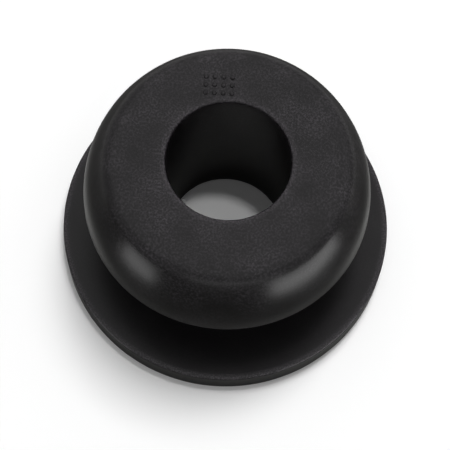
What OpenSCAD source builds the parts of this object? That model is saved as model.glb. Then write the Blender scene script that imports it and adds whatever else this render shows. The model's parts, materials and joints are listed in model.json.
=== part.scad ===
// Dust seal: one moulded rubber piece that closes a panel hole around a rod or cable.
// It stands on its flange. The bore's axis is Z, and the origin is the centre of the base.

/* [Flange] */
// Diameter of the flange, which covers the hole on one side of the panel
flange_d = 34; // [30:0.5:44]
// Thickness of the flange
flange_t = 3; // [2:0.1:5]
// Rounding of the flange's two rim edges
flange_edge_r = 0.3; // [0.1:0.05:0.8]

/* [Neck] */
// Diameter of the neck, which fills the hole in the panel
neck_d = 22; // [17:0.5:25]
// Height of the groove between the flange and the crown
groove_h = 8.5; // [3:0.5:14]
// Fillet at each end of the neck
neck_fillet_r = 0.8; // [0.2:0.1:1.2]

/* [Crown] */
// Diameter of the crown at its lip, which is pushed through the hole and holds the seal
lip_d = 28.5; // [26:0.5:32]
// Height of the crown, from its underside to its flat top
crown_h = 8.5; // [5:0.5:11]
// Rounding between the crown's dome and its flat top
shoulder_r = 2.4; // [0.5:0.1:3]
// Rounding of the lip's edge
lip_edge_r = 0.3; // [0.1:0.05:0.8]

/* [Bore] */
// Diameter of the bore, which grips the rod or cable
bore_d = 12; // [6:0.5:15]
// Rounding of the bore's two mouths
bore_edge_r = 0.3; // [0.1:0.05:0.8]

/* [Hidden] */
$fn = 180;

// Radii and heights, up from the base
flange_r = flange_d / 2;
neck_r = neck_d / 2;
lip_r = lip_d / 2;
bore_r = bore_d / 2;
mouth_r = bore_r + bore_edge_r;
lip_z = flange_t + groove_h;

// The crown is held to a height at which the bore's mouth and the rounding fit on its flat top
top_r_min = min(mouth_r + 2 * shoulder_r, lip_r - 0.5);
crown = min(crown_h, sqrt(pow(lip_r, 2) - pow(top_r_min, 2)));
top_z = lip_z + crown;

// The neck's fillets are held to the overhang of the lip and to half the groove
overhang = lip_r - neck_r - 2 * lip_edge_r;
neck_fillet = min(neck_fillet_r, overhang, groove_h / 2);

// The dome is part of a sphere about a point on the axis, level with the lip
dome_c = [0, lip_z];

// Centre of a rounding of radius r that touches the dome from inside, h above the lip
function in_dome(r, h) = dome_c + [sqrt(pow(lip_r - r, 2) - pow(h, 2)), h];

// Point where such a rounding about centre c touches the dome
function on_dome(c) = dome_c + lip_r * (c - dome_c) / norm(c - dome_c);

shoulder_c = in_dome(shoulder_r, crown - shoulder_r);
lip_c = in_dome(lip_edge_r, lip_edge_r);
dome_ends = [on_dome(lip_c), on_dome(shoulder_c)];

// Half section, as an outline through the ends of the arcs, with each arc as part of a circle
module half_section() {
    difference() {
        union() {
            polygon([
                [mouth_r, 0],
                [flange_r - flange_edge_r, 0],
                [flange_r, flange_edge_r],
                [flange_r, flange_t - flange_edge_r],
                [flange_r - flange_edge_r, flange_t],
                [neck_r + neck_fillet, flange_t],
                [neck_r, flange_t + neck_fillet],
                [neck_r, lip_z - neck_fillet],
                [neck_r + neck_fillet, lip_z],
                [lip_c.x, lip_z],
                dome_ends[0],
                dome_ends[1],
                [shoulder_c.x, top_z],
                [mouth_r, top_z],
                [bore_r, top_z - bore_edge_r],
                [bore_r, bore_edge_r]
            ]);
            for (z = [flange_edge_r, flange_t - flange_edge_r])
                disc(flange_edge_r, [flange_r - flange_edge_r, z]);
            for (z = [bore_edge_r, top_z - bore_edge_r])
                disc(bore_edge_r, [mouth_r, z]);
            disc(lip_edge_r, lip_c);
            disc(shoulder_r, shoulder_c);
            intersection() {
                disc(lip_r, dome_c);
                polygon([each dome_ends, 2 * dome_ends[1] - dome_c, 2 * dome_ends[0] - dome_c]);
            }
        }
        for (z = [flange_t + neck_fillet, lip_z - neck_fillet])
            disc(neck_fillet, [neck_r + neck_fillet, z]);
    }
}

// Round area of radius r about a point of the section
module disc(r, centre) {
    translate(centre) circle(r);
}

// The whole seal, turned from its half section
module dust_seal() {
    color("#383737") rotate_extrude() half_section();
}

dust_seal();
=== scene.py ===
"""Moulded rubber dust seal: a grooved round body with a straight bore, on a plain pale floor."""

import json
import math

import bpy
from bpy.props import FloatProperty, FloatVectorProperty, IntProperty, PointerProperty
from mathutils import Matrix, Vector


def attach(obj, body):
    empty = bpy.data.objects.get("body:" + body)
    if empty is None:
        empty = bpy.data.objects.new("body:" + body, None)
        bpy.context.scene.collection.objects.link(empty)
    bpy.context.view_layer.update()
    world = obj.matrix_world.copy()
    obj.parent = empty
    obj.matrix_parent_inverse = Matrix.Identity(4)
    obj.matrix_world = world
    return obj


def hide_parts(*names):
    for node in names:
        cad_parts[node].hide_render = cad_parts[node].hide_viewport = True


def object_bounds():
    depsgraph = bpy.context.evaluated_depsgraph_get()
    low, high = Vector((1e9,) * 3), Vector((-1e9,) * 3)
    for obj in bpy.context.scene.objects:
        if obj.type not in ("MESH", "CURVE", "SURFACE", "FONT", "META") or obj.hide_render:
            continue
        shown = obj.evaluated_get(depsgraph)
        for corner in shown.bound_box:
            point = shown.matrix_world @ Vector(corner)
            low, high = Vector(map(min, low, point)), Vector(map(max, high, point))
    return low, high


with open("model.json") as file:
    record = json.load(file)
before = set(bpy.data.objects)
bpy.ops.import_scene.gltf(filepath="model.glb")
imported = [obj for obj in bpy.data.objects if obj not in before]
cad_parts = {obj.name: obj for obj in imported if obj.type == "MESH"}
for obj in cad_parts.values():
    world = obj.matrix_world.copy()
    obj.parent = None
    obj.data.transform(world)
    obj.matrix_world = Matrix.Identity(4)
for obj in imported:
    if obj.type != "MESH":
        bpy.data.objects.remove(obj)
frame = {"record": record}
CAD_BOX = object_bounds()

bl_info = {
    "name": "Dust seal",
    "version": (1, 0, 0),
    "blender": (4, 5, 0),
    "location": "3D View > Sidebar > Dust seal",
    "description": "Dresses the moulded dust seal and sets it on a plain stage",
    "category": "Add Mesh",
}

MM = 0.001
CAD_NODE = "dust_seal"
BODY = "root"

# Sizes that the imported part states: its box and its mounts
MOUNTS = {mount["name"]: mount for mount in frame["record"]["mounts"]}
BORE = MOUNTS["bore"]["dims"]
GROOVE = MOUNTS["panel_groove"]["dims"]
GROOVE_MIDDLE = MOUNTS["panel_groove"]["pos_m"][2]
SEAL_TOP = CAD_BOX[1].z
FLANGE_RADIUS = CAD_BOX[1].x
FLANGE_TOP = GROOVE_MIDDLE - GROOVE["length_mm"] * MM / 2


def linear(hex_colour):
    """An sRGB hex colour, such as 3a3938, as linear red, green and blue."""
    parts = [int(hex_colour[i:i + 2], 16) / 255 for i in (0, 2, 4)]
    return tuple(c / 12.92 if c <= 0.04045 else ((c + 0.055) / 1.055) ** 2.4 for c in parts)


def add_node(tree, kind, inputs=None, **settings):
    """Adds a node with its settings; each input is a value, or a socket to link from."""
    node = tree.nodes.new(kind)
    for name, value in settings.items():
        setattr(node, name, value)
    for key, value in (inputs or {}).items():
        if isinstance(value, bpy.types.NodeSocket):
            tree.links.new(value, node.inputs[key])
        else:
            node.inputs[key].default_value = value
    return node


class SealSizes(bpy.types.PropertyGroup):
    """Sizes of the seal's section, as the CAD part has them."""

    flange_radius: FloatProperty(
        name="Flange radius", description="Radius of the flange's rim",
        default=FLANGE_RADIUS, unit="LENGTH")
    flange_top: FloatProperty(
        name="Flange top", description="Height of the flange's upper face",
        default=FLANGE_TOP, unit="LENGTH")
    neck_radius: FloatProperty(
        name="Neck radius", description="Radius of the neck in the groove",
        default=GROOVE["r_mm"] * MM, unit="LENGTH")
    groove_height: FloatProperty(
        name="Groove height", description="Clear height between the flange and the crown",
        default=GROOVE["length_mm"] * MM, unit="LENGTH")
    lip_radius: FloatProperty(
        name="Lip radius", description="Radius of the crown at its lip",
        default=14.25 * MM, unit="LENGTH")
    top: FloatProperty(
        name="Top", description="Height of the crown's flat top",
        default=SEAL_TOP, unit="LENGTH")
    bore_radius: FloatProperty(
        name="Bore radius", description="Radius of the straight bore",
        default=BORE["r_mm"] * MM, unit="LENGTH")
    shoulder_radius: FloatProperty(
        name="Shoulder radius", description="Rounding between the crown's dome and its top",
        default=2.4 * MM, unit="LENGTH")
    neck_fillet: FloatProperty(
        name="Neck fillet", description="Fillet at each end of the neck",
        default=0.8 * MM, unit="LENGTH")
    edge_radius: FloatProperty(
        name="Edge rounding", description="Rounding of the rim, the lip and the bore's mouths",
        default=0.3 * MM, unit="LENGTH")
    segments: IntProperty(
        name="Segments", description="Number of faces round the seal",
        default=480, min=12)


class PipSizes(bpy.types.PropertyGroup):
    """Sizes of the small plain pips moulded on the crown's top."""

    columns: IntProperty(
        name="Columns", description="Number of pips across", default=4, min=1)
    rows: IntProperty(
        name="Rows", description="Number of pips outwards from the bore", default=3, min=1)
    spacing: FloatProperty(
        name="Spacing", description="Distance from one pip to the next",
        default=0.85 * MM, unit="LENGTH")
    radius: FloatProperty(
        name="Radius", description="Radius of a pip",
        default=0.24 * MM, unit="LENGTH")
    height: FloatProperty(
        name="Height", description="Height of a pip above the top",
        default=0.2 * MM, unit="LENGTH")
    place: FloatVectorProperty(
        name="Place", description="Middle of the pips, on the crown's top",
        default=(-1.25 * MM, 7.7 * MM, SEAL_TOP), size=3, subtype="TRANSLATION", unit="LENGTH")


class SealFinish(bpy.types.PropertyGroup):
    """Colours and fine unevenness of the moulded rubber."""

    rubber_colour: FloatVectorProperty(
        name="Rubber", description="Colour of the clean rubber",
        default=linear("0b090b"), size=3, subtype="COLOR")
    dust_colour: FloatVectorProperty(
        name="Dust", description="Colour of the dusty bloom and of rubbed edges",
        default=linear("7a747b"), size=3, subtype="COLOR")
    roughness: FloatProperty(
        name="Roughness", description="Roughness of the moulded skin",
        default=0.29, min=0, max=1, subtype="FACTOR")
    ripple: FloatProperty(
        name="Ripple", description="Height of the skin's slow unevenness",
        default=0.03 * MM, unit="LENGTH")
    nick: FloatProperty(
        name="Nicks", description="Depth of the nicks left by trimming on the lip and the rim",
        default=0.03 * MM, unit="LENGTH")


class SealStage(bpy.types.PropertyGroup):
    """The camera's place and the floor's colours; the two colours that the seal mirrors hold painted
    shade and painted light.
    """

    elevation: FloatProperty(
        name="Elevation", description="Height of the camera's view above the horizon",
        default=math.radians(69.8), subtype="ANGLE", unit="ROTATION")
    roll: FloatProperty(
        name="Roll", description="Turn of the picture about the line of sight",
        default=math.radians(2.7), subtype="ANGLE", unit="ROTATION")
    distance: FloatProperty(
        name="Distance", description="Distance from the camera to the flange's upper face",
        default=157.5 * MM, unit="LENGTH")
    lens: FloatProperty(
        name="Lens", description="Focal length on a 36 mm wide sensor",
        default=120, unit="CAMERA")
    # Painted shade in front and painted light beside: the floor's colours as the seal mirrors them
    painted_shade_colour: FloatVectorProperty(
        name="Mirrored front", description="Colour of the floor in front, as the seal mirrors it",
        default=linear("525250"), size=3, subtype="COLOR")
    painted_light_colour: FloatVectorProperty(
        name="Mirrored sides", description="Lightest colour of the floor, as the seal mirrors it",
        default=linear("c0c0be"), size=3, subtype="COLOR")
    floor_colour: FloatVectorProperty(
        name="Floor", description="Colour of the floor, as the camera sees it",
        default=linear("ffffff"), size=3, subtype="COLOR")


def line(start, end, spacing):
    """Points from start up to end, about spacing apart, without end itself."""
    a, b = Vector(start), Vector(end)
    steps = max(1, round((b - a).length / spacing))
    return [a.lerp(b, i / steps) for i in range(steps)]


def arc(centre, radius, start, end, steps):
    """Points on an arc from one angle in degrees up to another, without its last point."""
    points = []
    for i in range(steps):
        angle = math.radians(start + (end - start) * i / steps)
        points.append(Vector(centre) + radius * Vector((math.cos(angle), math.sin(angle))))
    return points


# Spacing of points on the section's straight runs, and the number of steps on its arcs
FINE = 0.35 * MM
COARSE = 0.8 * MM
EDGE_STEPS = 6
SHOULDER_STEPS = 12
DOME_STEPS = 28


def seal_section(s):
    """The closed half section, as radius and height, from the base's inner edge outwards."""
    edge, fillet = s.edge_radius, s.neck_fillet
    lip_z = s.flange_top + s.groove_height
    mouth = s.bore_radius + edge
    rim = s.flange_radius - edge
    neck = s.neck_radius + fillet
    dome = Vector((0, lip_z))

    def in_dome(radius, height):
        """Centre of a rounding that touches the dome from inside, at a height above the lip."""
        return dome + Vector((math.sqrt((s.lip_radius - radius) ** 2 - height ** 2), height))

    def bearing(point):
        """Direction of a point from the dome's centre, in degrees up from level."""
        return math.degrees(math.atan2(point.y - dome.y, point.x))

    lip = in_dome(edge, edge)
    shoulder = in_dome(s.shoulder_radius, s.top - lip_z - s.shoulder_radius)
    return [
        *line((mouth, 0), (rim, 0), COARSE),
        *arc((rim, edge), edge, -90, 0, EDGE_STEPS),
        *line((s.flange_radius, edge), (s.flange_radius, s.flange_top - edge), FINE),
        *arc((rim, s.flange_top - edge), edge, 0, 90, EDGE_STEPS),
        *line((rim, s.flange_top), (neck, s.flange_top), FINE),
        *arc((neck, s.flange_top + fillet), fillet, 270, 180, EDGE_STEPS),
        *line((s.neck_radius, s.flange_top + fillet), (s.neck_radius, lip_z - fillet), COARSE),
        *arc((neck, lip_z - fillet), fillet, 180, 90, EDGE_STEPS),
        *line((neck, lip_z), (lip.x, lip_z), FINE),
        *arc(lip, edge, -90, bearing(lip), EDGE_STEPS),
        *arc(dome, s.lip_radius, bearing(lip), bearing(shoulder), DOME_STEPS),
        *arc(shoulder, s.shoulder_radius, bearing(shoulder), 90, SHOULDER_STEPS),
        *line((shoulder.x, s.top), (mouth, s.top), FINE),
        *arc((mouth, s.top - edge), edge, 90, 180, EDGE_STEPS),
        *line((s.bore_radius, s.top - edge), (s.bore_radius, edge), COARSE),
        *arc((mouth, edge), edge, 180, 270, EDGE_STEPS),
    ]


# Sizes of the skin's ripples and nicks, how far nicks and wear reach from an edge, the wear of the
# bore's mouth as a share of that on the lip and the rim, and the gap within which seams are joined
RIPPLE_SIZE = 4 * MM
NICK_SIZE = 0.7 * MM
NICK_REACH = 0.8 * MM
MOUTH_WEAR = 0.6
SEAM_GAP = 0.001 * MM


def turned_tree():
    """Geometry nodes that turn a section about Z and give its edges small nicks."""
    tree = bpy.data.node_groups.new("Turned moulding", "GeometryNodeTree")
    for name, kind in (
        ("Section", "Geometry"), ("Segments", "Int"), ("Ripple", "Float"), ("Ripple size", "Float"),
        ("Nick", "Float"), ("Nick size", "Float"), ("Nick reach", "Float"),
        ("Lip radius", "Float"), ("Lip height", "Float"), ("Rim radius", "Float"),
        ("Rim height", "Float"), ("Mouth radius", "Float"), ("Mouth height", "Float"),
        ("Material", "Material"),
    ):
        tree.interface.new_socket(name, in_out="INPUT", socket_type="NodeSocket" + kind)
    tree.interface.new_socket("Moulding", in_out="OUTPUT", socket_type="NodeSocketGeometry")
    given = add_node(tree, "NodeGroupInput").outputs

    # A grid with one row for each point of the section and one column for each segment
    count = add_node(tree, "GeometryNodeAttributeDomainSize", {
        0: given["Section"]}).outputs["Point Count"]
    rows = add_node(tree, "ShaderNodeMath", {0: count, 1: 1.0}, operation="ADD").outputs[0]
    columns = add_node(tree, "ShaderNodeMath", {
        0: given["Segments"], 1: 1.0}, operation="ADD").outputs[0]
    grid = add_node(tree, "GeometryNodeMeshGrid", {
        "Vertices X": rows, "Vertices Y": columns}).outputs["Mesh"]

    # Row and column of each point; the half keeps the division clear of whole numbers
    index = add_node(tree, "GeometryNodeInputIndex").outputs[0]
    middle = add_node(tree, "ShaderNodeMath", {0: index, 1: 0.5}, operation="ADD").outputs[0]
    row = add_node(tree, "ShaderNodeMath", {0: middle, 1: columns}, operation="DIVIDE").outputs[0]
    row = add_node(tree, "ShaderNodeMath", {0: row}, operation="FLOOR").outputs[0]
    point = add_node(tree, "ShaderNodeMath", {0: row, 1: count}, operation="MODULO").outputs[0]
    column = add_node(tree, "ShaderNodeMath", {0: row, 1: columns}, operation="MULTIPLY").outputs[0]
    column = add_node(tree, "ShaderNodeMath", {0: index, 1: column}, operation="SUBTRACT").outputs[0]
    turn = add_node(tree, "ShaderNodeMath", {
        0: column, 1: given["Segments"]}, operation="DIVIDE").outputs[0]
    turn = add_node(tree, "ShaderNodeMath", {0: turn, 1: math.tau}, operation="MULTIPLY").outputs[0]

    # The grid wrapped round the axis, closed at its seams, with its faces outwards
    position = add_node(tree, "GeometryNodeInputPosition").outputs[0]
    place = add_node(tree, "GeometryNodeSampleIndex", {
        0: given["Section"], 1: position, 2: point}, data_type="FLOAT_VECTOR").outputs[0]
    place = add_node(tree, "ShaderNodeVectorRotate", {
        0: place, "Angle": turn}, rotation_type="Z_AXIS").outputs[0]
    skin = add_node(tree, "GeometryNodeSetPosition", {0: grid, "Position": place}).outputs[0]
    skin = add_node(tree, "GeometryNodeMergeByDistance", {0: skin, "Distance": SEAM_GAP}).outputs[0]
    skin = add_node(tree, "GeometryNodeFlipFaces", {0: skin}).outputs[0]

    # How near each point lies to one of the three worn edges, from 0 to 1
    level = add_node(tree, "ShaderNodeSeparateXYZ", {0: position}).outputs["Z"]
    flat = add_node(tree, "ShaderNodeVectorMath", {
        0: position, 1: (1, 1, 0)}, operation="MULTIPLY").outputs[0]
    radius = add_node(tree, "ShaderNodeVectorMath", {0: flat}, operation="LENGTH").outputs["Value"]
    section = add_node(tree, "ShaderNodeCombineXYZ", {"X": radius, "Z": level}).outputs[0]
    near = {}
    for edge in ("Lip", "Rim", "Mouth"):
        ring = add_node(tree, "ShaderNodeCombineXYZ", {
            "X": given[edge + " radius"], "Z": given[edge + " height"]}).outputs[0]
        away = add_node(tree, "ShaderNodeVectorMath", {
            0: section, 1: ring}, operation="DISTANCE").outputs["Value"]
        near[edge] = add_node(tree, "ShaderNodeMapRange", {
            "Value": away, "From Min": given["Nick reach"], "From Max": 0.0},
            interpolation_type="SMOOTHSTEP").outputs[0]
    trimmed = add_node(tree, "ShaderNodeMath", {
        0: near["Lip"], 1: near["Rim"]}, operation="MAXIMUM").outputs[0]
    mouth = add_node(tree, "ShaderNodeMath", {
        0: near["Mouth"], 1: MOUTH_WEAR}, operation="MULTIPLY").outputs[0]
    worn = add_node(tree, "ShaderNodeMath", {0: trimmed, 1: mouth}, operation="MAXIMUM").outputs[0]

    # Slow ripple all over, and nicks where the flash was trimmed off
    bumps = []
    for height, size in (("Ripple", "Ripple size"), ("Nick", "Nick size")):
        scale = add_node(tree, "ShaderNodeMath", {0: 1.0, 1: given[size]}, operation="DIVIDE").outputs[0]
        noise = add_node(tree, "ShaderNodeTexNoise", {
            "Vector": position, "Scale": scale, "Detail": 2.0}).outputs[0]
        bump = add_node(tree, "ShaderNodeMath", {0: noise, 1: 0.5}, operation="SUBTRACT").outputs[0]
        bumps.append(add_node(tree, "ShaderNodeMath", {
            0: bump, 1: given[height]}, operation="MULTIPLY").outputs[0])
    ripple, nick = bumps
    nick = add_node(tree, "ShaderNodeMath", {0: nick, 1: trimmed}, operation="MULTIPLY").outputs[0]
    shift = add_node(tree, "ShaderNodeMath", {0: ripple, 1: nick}, operation="ADD").outputs[0]
    normal = add_node(tree, "GeometryNodeInputNormal").outputs["Normal"]
    shift = add_node(tree, "ShaderNodeVectorMath", {
        0: normal, "Scale": shift}, operation="SCALE").outputs[0]
    skin = add_node(tree, "GeometryNodeStoreNamedAttribute", {
        0: skin, "Name": "worn_edge", "Value": worn}).outputs[0]
    skin = add_node(tree, "GeometryNodeSetPosition", {0: skin, "Offset": shift}).outputs[0]
    skin = add_node(tree, "GeometryNodeSetShadeSmooth", {0: skin}).outputs[0]
    skin = add_node(tree, "GeometryNodeRealizeInstances", {0: skin}).outputs[0]
    skin = add_node(tree, "GeometryNodeSetMaterial", {
        0: skin, "Material": given["Material"]}).outputs[0]
    add_node(tree, "NodeGroupOutput", {0: skin})
    return tree


def pip_tree():
    """Geometry nodes that set flattened balls on a grid of places."""
    tree = bpy.data.node_groups.new("Moulded pips", "GeometryNodeTree")
    for name, kind in (
        ("Columns", "Int"), ("Rows", "Int"), ("Spacing", "Float"), ("Radius", "Float"),
        ("Height", "Float"), ("Place", "Vector"), ("Material", "Material"),
    ):
        tree.interface.new_socket(name, in_out="INPUT", socket_type="NodeSocket" + kind)
    tree.interface.new_socket("Pips", in_out="OUTPUT", socket_type="NodeSocketGeometry")
    given = add_node(tree, "NodeGroupInput").outputs
    sides = []
    for count in ("Columns", "Rows"):
        gaps = add_node(tree, "ShaderNodeMath", {
            0: given[count], 1: 1.0}, operation="SUBTRACT").outputs[0]
        sides.append(add_node(tree, "ShaderNodeMath", {
            0: gaps, 1: given["Spacing"]}, operation="MULTIPLY").outputs[0])
    grid = add_node(tree, "GeometryNodeMeshGrid", {
        "Size X": sides[0], "Size Y": sides[1],
        "Vertices X": given["Columns"], "Vertices Y": given["Rows"]}).outputs["Mesh"]
    grid = add_node(tree, "GeometryNodeTransform", {
        0: grid, "Translation": given["Place"]}).outputs[0]
    ball = add_node(tree, "GeometryNodeMeshUVSphere", {
        "Segments": 24, "Rings": 12, "Radius": given["Radius"]}).outputs["Mesh"]
    ball = add_node(tree, "GeometryNodeSetShadeSmooth", {0: ball}).outputs[0]
    flat = add_node(tree, "ShaderNodeMath", {
        0: given["Height"], 1: given["Radius"]}, operation="DIVIDE").outputs[0]
    flat = add_node(tree, "ShaderNodeCombineXYZ", {"X": 1.0, "Y": 1.0, "Z": flat}).outputs[0]
    pips = add_node(tree, "GeometryNodeInstanceOnPoints", {
        "Points": grid, "Instance": ball, "Scale": flat}).outputs[0]
    pips = add_node(tree, "GeometryNodeRealizeInstances", {0: pips}).outputs[0]
    pips = add_node(tree, "GeometryNodeSetMaterial", {
        0: pips, "Material": given["Material"]}).outputs[0]
    add_node(tree, "NodeGroupOutput", {0: pips})
    return tree


def plain_mesh(piece, tree, values):
    """Runs a node tree on a piece with its inputs set, and keeps the result as a plain mesh."""
    modifier = piece.modifiers.new(tree.name, "NODES")
    modifier.node_group = tree
    for socket in tree.interface.items_tree:
        if socket.in_out == "INPUT" and socket.name in values:
            modifier[socket.identifier] = values[socket.name]
    graph = bpy.context.evaluated_depsgraph_get()
    mesh = bpy.data.meshes.new_from_object(piece.evaluated_get(graph), depsgraph=graph)
    mesh.name = piece.name
    piece.modifiers.clear()
    piece.data = mesh


def new_piece(name, points, edges=(), faces=()):
    """A mesh object of points, edges and faces, linked to the scene."""
    mesh = bpy.data.meshes.new(name)
    mesh.from_pydata(points, edges, faces)
    piece = bpy.data.objects.new(name, mesh)
    bpy.context.scene.collection.objects.link(piece)
    return piece


# Sizes of the rubber's patterns; real specks of dust are finer, and are drawn here as coarse as
# they need to be to show
BLOOM_CLOUD = 3.5 * MM
DUST_SPECK = 0.2 * MM
EDGE_GRIT = 0.15 * MM
MOULD_GRAIN = 0.14 * MM
GRAIN_DEPTH = 0.008 * MM

# Height over which dust builds up above the flange, and how much rougher dust makes the skin
DUST_RISE = 8 * MM
DUST_ROUGHNESS = 0.3


def moulded_rubber(finish):
    """Moulded black rubber: a dark matt skin with a pale dusty bloom, rubbed paler on its edges."""
    name = "moulded black rubber"
    if name in bpy.data.materials:
        return bpy.data.materials[name]
    material = bpy.data.materials.new(name)
    material.use_nodes = True
    tree = material.node_tree
    tree.nodes.clear()
    place = add_node(tree, "ShaderNodeTexCoord").outputs["Object"]

    # Bloom in clouds, grainy with specks of dust
    cloud = add_node(tree, "ShaderNodeTexNoise", {
        "Vector": place, "Scale": 1 / BLOOM_CLOUD, "Detail": 3.0}).outputs[0]
    bloom = add_node(tree, "ShaderNodeMapRange", {
        "Value": cloud, "From Min": 0.3, "From Max": 0.7, "To Min": 0.15}).outputs[0]
    speck = add_node(tree, "ShaderNodeTexNoise", {
        "Vector": place, "Scale": 1 / DUST_SPECK, "Detail": 2.0}).outputs[0]
    speck = add_node(tree, "ShaderNodeMapRange", {
        "Value": speck, "From Min": 0.42, "From Max": 0.8,
        "To Min": 0.015, "To Max": 0.27}).outputs[0]
    dust = add_node(tree, "ShaderNodeMath", {0: speck, 1: bloom}, operation="MULTIPLY").outputs[0]

    # Dust thins out lower down, so the flange and the neck stay darker than the crown
    height = add_node(tree, "ShaderNodeSeparateXYZ", {0: place}).outputs["Z"]
    share = add_node(tree, "ShaderNodeMapRange", {
        "Value": height, "From Min": FLANGE_TOP, "From Max": FLANGE_TOP + DUST_RISE,
        "To Min": 0.2}).outputs[0]
    dust = add_node(tree, "ShaderNodeMath", {0: dust, 1: share}, operation="MULTIPLY").outputs[0]

    # Edges rubbed pale in fine grit
    worn = add_node(tree, "ShaderNodeAttribute", attribute_name="worn_edge").outputs["Fac"]
    grit = add_node(tree, "ShaderNodeTexNoise", {
        "Vector": place, "Scale": 1 / EDGE_GRIT, "Detail": 1.0}).outputs[0]
    grit = add_node(tree, "ShaderNodeMapRange", {
        "Value": grit, "From Min": 0.42, "From Max": 0.8,
        "To Min": 0.01, "To Max": 0.5}).outputs[0]
    rubbed = add_node(tree, "ShaderNodeMath", {0: worn, 1: grit}, operation="MULTIPLY").outputs[0]

    # Dust and rubbing make the skin paler and rougher
    pale = add_node(tree, "ShaderNodeMath", {
        0: dust, 1: rubbed}, operation="ADD", use_clamp=True).outputs[0]
    colour = add_node(tree, "ShaderNodeMix", {
        0: pale, 6: (*finish.rubber_colour, 1), 7: (*finish.dust_colour, 1)},
        data_type="RGBA").outputs[2]
    rough = add_node(tree, "ShaderNodeMapRange", {
        "Value": pale, "To Min": finish.roughness,
        "To Max": finish.roughness + DUST_ROUGHNESS}).outputs[0]

    # Fine grain of the mould's surface
    grain = add_node(tree, "ShaderNodeTexNoise", {
        "Vector": place, "Scale": 1 / MOULD_GRAIN, "Detail": 2.0}).outputs[0]
    grain = add_node(tree, "ShaderNodeBump", {
        "Height": grain, "Strength": 0.25, "Distance": GRAIN_DEPTH}).outputs[0]
    shader = add_node(tree, "ShaderNodeBsdfPrincipled", {
        "Base Color": colour, "Roughness": rough, "IOR": 1.5, "Specular IOR Level": 0.6,
        "Normal": grain})
    add_node(tree, "ShaderNodeOutputMaterial", {"Surface": shader.outputs[0]})
    return material


class DUSTSEAL_OT_turn_seal(bpy.types.Operator):
    """Turn the seal's section into its moulded body"""

    bl_idname = "dustseal.turn_seal"
    bl_label = "Turn the seal"

    def execute(self, context):
        sizes, finish = context.scene.seal_sizes, context.scene.seal_finish
        section = [(p.x, 0, p.y) for p in seal_section(sizes)]
        ring = [(i, (i + 1) % len(section)) for i in range(len(section))]
        seal = new_piece("moulded_seal", section, ring)
        lip_z = sizes.flange_top + sizes.groove_height
        plain_mesh(seal, turned_tree(), {
            "Segments": sizes.segments,
            "Ripple": finish.ripple, "Ripple size": RIPPLE_SIZE,
            "Nick": finish.nick, "Nick size": NICK_SIZE, "Nick reach": NICK_REACH,
            "Lip radius": sizes.lip_radius, "Lip height": lip_z,
            "Rim radius": sizes.flange_radius, "Rim height": sizes.flange_top,
            "Mouth radius": sizes.bore_radius, "Mouth height": sizes.top,
            "Material": moulded_rubber(finish),
        })
        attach(seal, BODY)
        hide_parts(CAD_NODE)
        return {"FINISHED"}


class DUSTSEAL_OT_mould_pips(bpy.types.Operator):
    """Set the small plain pips on the crown's top"""

    bl_idname = "dustseal.mould_pips"
    bl_label = "Mould the pips"

    def execute(self, context):
        sizes = context.scene.pip_sizes
        pips = new_piece("mould_pips", [])
        plain_mesh(pips, pip_tree(), {
            "Columns": sizes.columns, "Rows": sizes.rows, "Spacing": sizes.spacing,
            "Radius": sizes.radius, "Height": sizes.height, "Place": tuple(sizes.place),
            "Material": moulded_rubber(context.scene.seal_finish),
        })
        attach(pips, BODY)
        return {"FINISHED"}


# Half the floor's side, and how far it lies below the seal's base
FLOOR_HALF = 0.6
FLOOR_DROP = 0.01 * MM

# Where the mirrored floor goes from its painted shade colour to its painted light colour: by depth, by
# distance from the rim, by radius far off and by radius at the foot; then the largest share of the
# painted light colour in the last two
FRONT_FADE = (-16 * MM, 2 * MM)
RIM_FADE = (8 * MM, 3 * MM)
FAR_FADE = (32 * MM, 75 * MM)
FOOT_FADE = (22 * MM, 18 * MM)
FAR_SHARE = 0.6
FOOT_SHARE = 0.35


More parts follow.
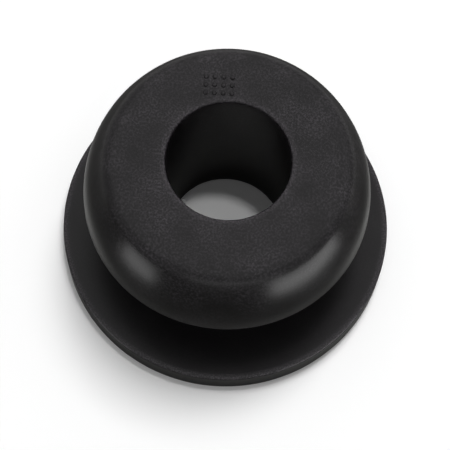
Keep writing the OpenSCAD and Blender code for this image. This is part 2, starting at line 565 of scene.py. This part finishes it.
def pale_floor(stage):
    """Matt white paper: white to the camera, with the seal's shadow, and grey with painted shade and
    light as the seal mirrors it.
    """
    material = bpy.data.materials.new("matt white paper")
    material.use_nodes = True
    tree = material.node_tree
    tree.nodes.clear()
    place = add_node(tree, "ShaderNodeTexCoord").outputs["Object"]

    # Painted shade: the mirrored floor is darker in front, where the camera stands in the light
    depth = add_node(tree, "ShaderNodeSeparateXYZ", {0: place}).outputs["Y"]
    outside_painted_front_shade = add_node(tree, "ShaderNodeMapRange", {
        "Value": depth, "From Min": FRONT_FADE[0], "From Max": FRONT_FADE[1]},
        interpolation_type="SMOOTHSTEP").outputs[0]

    # Painted light and shade: beside the seal the mirrored floor is light along the rim and far off,
    # with a darker ring between; close to the foot it is partly light all round
    radius = add_node(tree, "ShaderNodeVectorMath", {0: place}, operation="LENGTH").outputs["Value"]
    away = add_node(tree, "ShaderNodeMath", {
        0: radius, 1: FLANGE_RADIUS}, operation="SUBTRACT").outputs[0]
    away = add_node(tree, "ShaderNodeMath", {0: away}, operation="ABSOLUTE").outputs[0]
    rim = add_node(tree, "ShaderNodeMapRange", {
        "Value": away, "From Min": RIM_FADE[0], "From Max": RIM_FADE[1]},
        interpolation_type="SMOOTHSTEP").outputs[0]
    painted_far_light = add_node(tree, "ShaderNodeMapRange", {
        "Value": radius, "From Min": FAR_FADE[0], "From Max": FAR_FADE[1], "To Max": FAR_SHARE},
        interpolation_type="SMOOTHSTEP").outputs[0]
    painted_side_light = add_node(tree, "ShaderNodeMath", {0: rim, 1: painted_far_light}, operation="MAXIMUM").outputs[0]
    painted_side_light = add_node(tree, "ShaderNodeMath", {0: outside_painted_front_shade, 1: painted_side_light}, operation="MULTIPLY").outputs[0]
    painted_foot_light = add_node(tree, "ShaderNodeMapRange", {
        "Value": radius, "From Min": FOOT_FADE[0], "From Max": FOOT_FADE[1], "To Max": FOOT_SHARE},
        interpolation_type="SMOOTHSTEP").outputs[0]
    light = add_node(tree, "ShaderNodeMath", {0: painted_side_light, 1: painted_foot_light}, operation="MAXIMUM").outputs[0]
    # The colour that the seal mirrors: painted shade in front and in the ring, painted light elsewhere
    mirrored = add_node(tree, "ShaderNodeMix", {
        0: light, 6: (*stage.painted_shade_colour, 1), 7: (*stage.painted_light_colour, 1)},
        data_type="RGBA").outputs[2]

    # White is for camera rays alone, since the part has no metal or glass that should mirror it
    seen = add_node(tree, "ShaderNodeLightPath").outputs["Is Camera Ray"]
    colour = add_node(tree, "ShaderNodeMix", {
        0: seen, 6: mirrored, 7: (*stage.floor_colour, 1)}, data_type="RGBA").outputs[2]
    shader = add_node(tree, "ShaderNodeBsdfDiffuse", {"Color": colour})
    add_node(tree, "ShaderNodeOutputMaterial", {"Surface": shader.outputs[0]})
    return material


def aim(lamp, place, target):
    """Puts a lamp at a place and turns it to a target."""
    lamp.location = place
    lamp.rotation_euler = (target - place).to_track_quat("-Z", "Y").to_euler()


def from_bearing(bearing, elevation, distance):
    """A point at a bearing from +X and an elevation, in degrees, at a distance from the origin."""
    b, e = math.radians(bearing), math.radians(elevation)
    return distance * Vector((math.cos(b) * math.cos(e), math.sin(b) * math.cos(e), math.sin(e)))


# Each lamp's bearing and elevation in degrees, its distance, width and depth in metres, its power
# in watts, whether it lights surfaces and whether the rubber mirrors it. Mirrored, the back right
# softbox and the ceiling lamp would leave streaks; the strip and the cards are there for sheen alone
LAMPS = {
    "overhead softbox": (60, 78, 0.5, 1.7, 1.7, 1.9, True, True),
    "back right softbox": (63, 68, 0.5, 0.15, 0.15, 1.3, True, False),
    "ceiling lamp": (62, 82.8, 0.5, 0.03, 0.03, 0.46, True, False),
    "front strip": (277, 4, 0.11, 0.12, 0.05, 0.006, False, True),
    "front left card": (221, -7, 0.040, 0.015, 0.010, 0.00075, False, True),
    "front right card": (319, -6, 0.042, 0.034, 0.010, 0.0024, False, True),
}
ROOM_LIGHT = 0.27

# Width of the camera's sensor in millimetres, and how far the camera stands off the line to the seal
SENSOR_WIDTH = 36
CAMERA_OFFSET = (-0.06 * MM, -0.31 * MM)


class DUSTSEAL_OT_set_stage(bpy.types.Operator):
    """Set the floor, the lamps and the camera"""

    bl_idname = "dustseal.set_stage"
    bl_label = "Set the stage"

    def execute(self, context):
        scene, stage = context.scene, context.scene.seal_stage
        corners = ((-1, -1), (1, -1), (1, 1), (-1, 1))
        floor = new_piece(
            "floor", [(x * FLOOR_HALF, y * FLOOR_HALF, -FLOOR_DROP) for x, y in corners],
            faces=[(0, 1, 2, 3)])
        floor.data.materials.append(pale_floor(stage))

        target = Vector((0, 0, SEAL_TOP / 2))
        for name, values in LAMPS.items():
            bearing, elevation, distance, width, depth, power, lights, mirrored = values
            light = bpy.data.lights.new(name, "AREA")
            light.shape = "RECTANGLE"
            light.size = width
            light.size_y = depth
            light.energy = power
            lamp = bpy.data.objects.new(name, light)
            lamp.visible_camera = False
            lamp.visible_diffuse = lights
            lamp.visible_glossy = mirrored
            scene.collection.objects.link(lamp)
            aim(lamp, target + from_bearing(bearing, elevation, distance), target)

        world = bpy.data.worlds.new("dim room")
        world.use_nodes = True
        room = world.node_tree.nodes["Background"].inputs
        room["Color"].default_value = (1, 1, 1, 1)
        room["Strength"].default_value = ROOM_LIGHT
        scene.world = world

        camera = bpy.data.cameras.new("camera")
        camera.lens = stage.lens
        camera.sensor_width = SENSOR_WIDTH
        camera.clip_start = 1 * MM
        camera.clip_end = 10
        view = bpy.data.objects.new("camera", camera)
        scene.collection.objects.link(view)
        scene.camera = view
        tilt = Matrix.Rotation(math.pi / 2 - stage.elevation, 4, "X")
        roll = Matrix.Rotation(stage.roll, 4, "Z")
        centre = Matrix.Translation((0, 0, FLANGE_TOP))
        back = Matrix.Translation((*CAMERA_OFFSET, stage.distance))
        view.matrix_world = centre @ tilt @ roll @ back
        scene.view_settings.view_transform = "Standard"
        return {"FINISHED"}


class DUSTSEAL_PT_panel(bpy.types.Panel):
    """Sizes, finish and steps of the seal"""

    bl_idname = "DUSTSEAL_PT_panel"
    bl_label = "Dust seal"
    bl_space_type = "VIEW_3D"
    bl_region_type = "UI"
    bl_category = "Dust seal"

    def draw(self, context):
        for name, kind in GROUPS.items():
            box = self.layout.box()
            for field in kind.__annotations__:
                box.prop(getattr(context.scene, name), field)
        for step in STEPS:
            self.layout.operator(step.bl_idname)


GROUPS = {
    "seal_sizes": SealSizes,
    "pip_sizes": PipSizes,
    "seal_finish": SealFinish,
    "seal_stage": SealStage,
}
STEPS = (DUSTSEAL_OT_turn_seal, DUSTSEAL_OT_mould_pips, DUSTSEAL_OT_set_stage)


def register():
    for kind in (*GROUPS.values(), *STEPS, DUSTSEAL_PT_panel):
        bpy.utils.register_class(kind)
    for name, group in GROUPS.items():
        setattr(bpy.types.Scene, name, PointerProperty(type=group))


def unregister():
    for name in GROUPS:
        delattr(bpy.types.Scene, name)
    for kind in reversed((*GROUPS.values(), *STEPS, DUSTSEAL_PT_panel)):
        bpy.utils.unregister_class(kind)


def main():
    register()
    bpy.ops.dustseal.turn_seal()
    bpy.ops.dustseal.mould_pips()
    bpy.ops.dustseal.set_stage()


if __name__ == "__main__":
    main()
